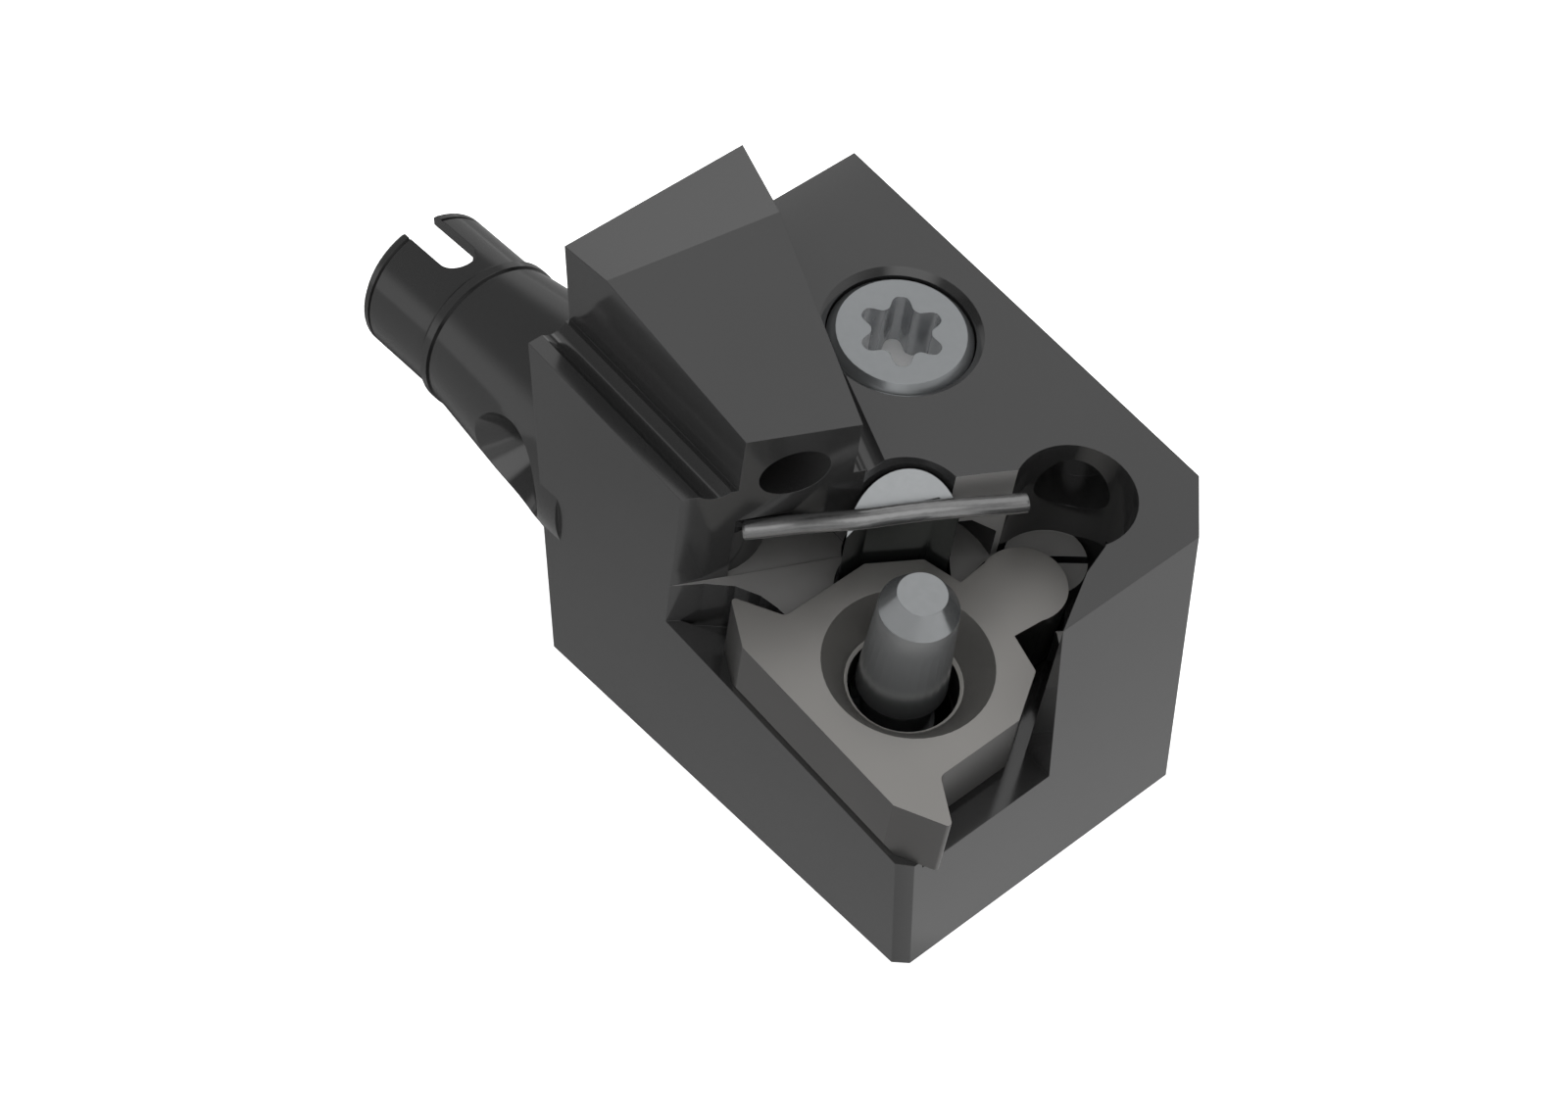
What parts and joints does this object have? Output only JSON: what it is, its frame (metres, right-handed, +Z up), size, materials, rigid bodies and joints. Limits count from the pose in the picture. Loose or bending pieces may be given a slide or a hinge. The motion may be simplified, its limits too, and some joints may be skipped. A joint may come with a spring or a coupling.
{
  "type": "threading tool head",
  "caption": "Modular threading head: sloped steel block on a hollow conical shank, with a lever-clamped double-ended insert, clamp screw, spring wire and coolant nozzle.",
  "frame": {"origin": "on the bottom face, under the shank axis, halfway along the block", "axes": "+X from the shank to the cutting end, +Y across the head away from the side where the insert looks out, +Z up from the bottom face to the sloped top"},
  "size_m": [0.0337, 0.0155, 0.02],
  "materials": {
    "black_steel": "blackened and oiled, satin",
    "carbide": "ground, warm grey",
    "lever_steel": "turned and polished",
    "screw_steel": "satin",
    "spring_steel": "drawn, bright"
  },
  "bodies": {
    "head": {"head_body": "black_steel", "cutting_insert": "carbide", "return_spring": "spring_steel", "coolant_plug": "black_steel"},
    "lever": {"clamp_lever": "lever_steel"},
    "screw": {"clamp_screw": "screw_steel"}
  },
  "joints": [
    {"name": "screw_turn", "type": "hinge", "parent": "head", "child": "screw", "pos_m": [-0.00273, 0.00712, 0.01537], "axis": [0.1564, 0, 0.9877], "range_deg": [0, 140]},
    {"name": "lever_tilt", "type": "hinge", "parent": "head", "child": "lever", "pos_m": [0.00157, 0.00243, 0.00357], "axis": [0.6028, 0.7922, -0.0955], "range_deg": [0, 1.45]}
  ],
  "couplings": [
    {"joint": "lever_tilt", "follows": "screw_turn", "ratio": 0.010345}
  ]
}
